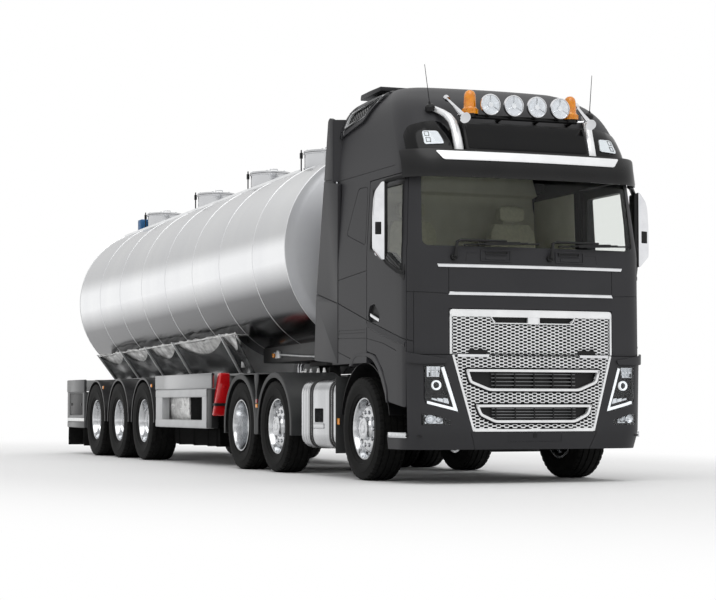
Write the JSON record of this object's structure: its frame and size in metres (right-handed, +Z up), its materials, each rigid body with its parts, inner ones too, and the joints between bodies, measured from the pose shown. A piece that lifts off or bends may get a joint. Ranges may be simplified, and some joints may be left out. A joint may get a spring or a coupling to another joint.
{
  "type": "articulated tanker truck",
  "caption": "Articulated tanker lorry: a high-roof tractor unit coupled to a tri-axle semi-trailer with a polished cylindrical tank, hinged at its fifth wheel.",
  "frame": {"origin": "on the ground under the middle of the whole vehicle, on its centre line", "axes": "+X forward to the tractor's front, +Y to the vehicle's left, +Z up"},
  "size_m": [13.9298, 2.95, 3.975],
  "materials": {
    "cab_paint": "satin dark grey paint",
    "black_plastic": "moulded, fine grain",
    "glass": "clear, lightly tinted",
    "lamp_glass": "clear polycarbonate",
    "chassis_paint": "semi-gloss dark grey paint",
    "cast_black": "painted casting",
    "polished_aluminium": "polished",
    "tyre_rubber": "moulded tyre rubber",
    "polished_stainless": "polished stainless sheet",
    "grille_metal": "anodised, satin",
    "interior_trim": "textured trim",
    "frame_grey": "galvanised grey paint",
    "red_plastic": "moulded red plastic",
    "chrome_trim": "bright chrome"
  },
  "bodies": {
    "tractor": {"tractor_frame": "chassis_paint", "engine_block": "cast_black", "tractor_axles": "chassis_paint", "fifth_wheel": "cast_black", "side_tanks": "polished_aluminium", "tractor_mudguards": "black_plastic", "cab_shell": "cab_paint", "cab_roof": "cab_paint", "windscreen": "glass", "side_deflectors": "cab_paint", "roof_visor": "black_plastic", "roof_lamps": "chrome_trim", "front_bumper": "cab_paint", "headlamps": "lamp_glass", "grilles": "grille_metal", "cab_interior": "interior_trim"},
    "trailer": {"tank": "polished_stainless", "saddles": "polished_stainless", "trailer_frame": "frame_grey", "trailer_axles": "cast_black", "trailer_guards": "frame_grey", "rear_cabinets": "black_plastic", "extinguisher_boxes": "red_plastic", "walkway_rails": "polished_stainless"},
    "knuckle_left": {"knuckle_left": "cast_black"},
    "knuckle_right": {"knuckle_right": "cast_black"},
    "door_left": {"door_left": "cab_paint", "door_glass_left": "glass", "mirror_left": "chrome_trim"},
    "door_right": {"door_right": "cab_paint", "door_glass_right": "glass", "mirror_right": "chrome_trim"},
    "lid_1": {"manhole_lid_1": "polished_stainless"},
    "lid_2": {"manhole_lid_2": "polished_stainless"},
    "lid_3": {"manhole_lid_3": "polished_stainless"},
    "lid_4": {"manhole_lid_4": "polished_stainless"},
    "wheel_front_left": {"tyre_front_left": "tyre_rubber", "rim_front_left": "polished_aluminium"},
    "wheel_front_right": {"tyre_front_right": "tyre_rubber", "rim_front_right": "polished_aluminium"},
    "wheel_pusher_left": {"tyre_pusher_left": "tyre_rubber", "rim_pusher_left": "polished_aluminium"},
    "wheel_pusher_right": {"tyre_pusher_right": "tyre_rubber", "rim_pusher_right": "polished_aluminium"},
    "wheel_drive_left": {"tyre_drive_left": "tyre_rubber", "rim_drive_left": "polished_aluminium"},
    "wheel_drive_right": {"tyre_drive_right": "tyre_rubber", "rim_drive_right": "polished_aluminium"},
    "wheel_trailer1_left": {"tyre_trailer1_left": "tyre_rubber", "rim_trailer1_left": "polished_aluminium"},
    "wheel_trailer1_right": {"tyre_trailer1_right": "tyre_rubber", "rim_trailer1_right": "polished_aluminium"},
    "wheel_trailer2_left": {"tyre_trailer2_left": "tyre_rubber", "rim_trailer2_left": "polished_aluminium"},
    "wheel_trailer2_right": {"tyre_trailer2_right": "tyre_rubber", "rim_trailer2_right": "polished_aluminium"},
    "wheel_trailer3_left": {"tyre_trailer3_left": "tyre_rubber", "rim_trailer3_left": "polished_aluminium"},
    "wheel_trailer3_right": {"tyre_trailer3_right": "tyre_rubber", "rim_trailer3_right": "polished_aluminium"}
  },
  "joints": [
    {"name": "articulation", "type": "hinge", "parent": "tractor", "child": "trailer", "pos_m": [2.35, 0, 1.25], "axis": [0, 0, 1], "range_deg": [-90, 90]},
    {"name": "steer_left", "type": "hinge", "parent": "tractor", "child": "knuckle_left", "pos_m": [5.6, 0.88, 0.507], "axis": [0, 0, 1], "range_deg": [-38, 38]},
    {"name": "steer_right", "type": "hinge", "parent": "tractor", "child": "knuckle_right", "pos_m": [5.6, -0.88, 0.507], "axis": [0, 0, 1], "range_deg": [-38, 38]},
    {"name": "door_left_swing", "type": "hinge", "parent": "tractor", "child": "door_left", "pos_m": [6.752, 1.252, 1.6], "axis": [0, 0, -1], "range_deg": [0, 70]},
    {"name": "door_right_swing", "type": "hinge", "parent": "tractor", "child": "door_right", "pos_m": [6.752, -1.252, 1.6], "axis": [0, 0, 1], "range_deg": [0, 70]},
    {"name": "lid_1_hinge", "type": "hinge", "parent": "trailer", "child": "lid_1", "pos_m": [1.02, 0, 3.7831], "axis": [0, -1, 0], "range_deg": [0, 100]},
    {"name": "lid_2_hinge", "type": "hinge", "parent": "trailer", "child": "lid_2", "pos_m": [-1.03, 0, 3.7473], "axis": [0, -1, 0], "range_deg": [0, 100]},
    {"name": "lid_3_hinge", "type": "hinge", "parent": "trailer", "child": "lid_3", "pos_m": [-3.39, 0, 3.7061], "axis": [0, -1, 0], "range_deg": [0, 100]},
    {"name": "lid_4_hinge", "type": "hinge", "parent": "trailer", "child": "lid_4", "pos_m": [-6.04, 0, 3.6599], "axis": [0, -1, 0], "range_deg": [0, 100]},
    {"name": "spin_front_left", "type": "hinge", "parent": "knuckle_left", "child": "wheel_front_left", "pos_m": [5.6, 1, 0.507], "axis": [0, 1, 0], "continuous": true},
    {"name": "spin_front_right", "type": "hinge", "parent": "knuckle_right", "child": "wheel_front_right", "pos_m": [5.6, -1, 0.507], "axis": [0, 1, 0], "continuous": true},
    {"name": "spin_pusher_left", "type": "hinge", "parent": "tractor", "child": "wheel_pusher_left", "pos_m": [3, 1, 0.507], "axis": [0, 1, 0], "continuous": true},
    {"name": "spin_pusher_right", "type": "hinge", "parent": "tractor", "child": "wheel_pusher_right", "pos_m": [3, -1, 0.507], "axis": [0, 1, 0], "continuous": true},
    {"name": "spin_drive_left", "type": "hinge", "parent": "tractor", "child": "wheel_drive_left", "pos_m": [1.79, 1, 0.507], "axis": [0, 1, 0], "continuous": true},
    {"name": "spin_drive_right", "type": "hinge", "parent": "tractor", "child": "wheel_drive_right", "pos_m": [1.79, -1, 0.507], "axis": [0, 1, 0], "continuous": true},
    {"name": "spin_trailer1_left", "type": "hinge", "parent": "trailer", "child": "wheel_trailer1_left", "pos_m": [-2.47, 1, 0.53], "axis": [0, 1, 0], "continuous": true},
    {"name": "spin_trailer1_right", "type": "hinge", "parent": "trailer", "child": "wheel_trailer1_right", "pos_m": [-2.47, -1, 0.53], "axis": [0, 1, 0], "continuous": true},
    {"name": "spin_trailer2_left", "type": "hinge", "parent": "trailer", "child": "wheel_trailer2_left", "pos_m": [-3.78, 1, 0.53], "axis": [0, 1, 0], "continuous": true},
    {"name": "spin_trailer2_right", "type": "hinge", "parent": "trailer", "child": "wheel_trailer2_right", "pos_m": [-3.78, -1, 0.53], "axis": [0, 1, 0], "continuous": true},
    {"name": "spin_trailer3_left", "type": "hinge", "parent": "trailer", "child": "wheel_trailer3_left", "pos_m": [-5.09, 1, 0.53], "axis": [0, 1, 0], "continuous": true},
    {"name": "spin_trailer3_right", "type": "hinge", "parent": "trailer", "child": "wheel_trailer3_right", "pos_m": [-5.09, -1, 0.53], "axis": [0, 1, 0], "continuous": true}
  ]
}
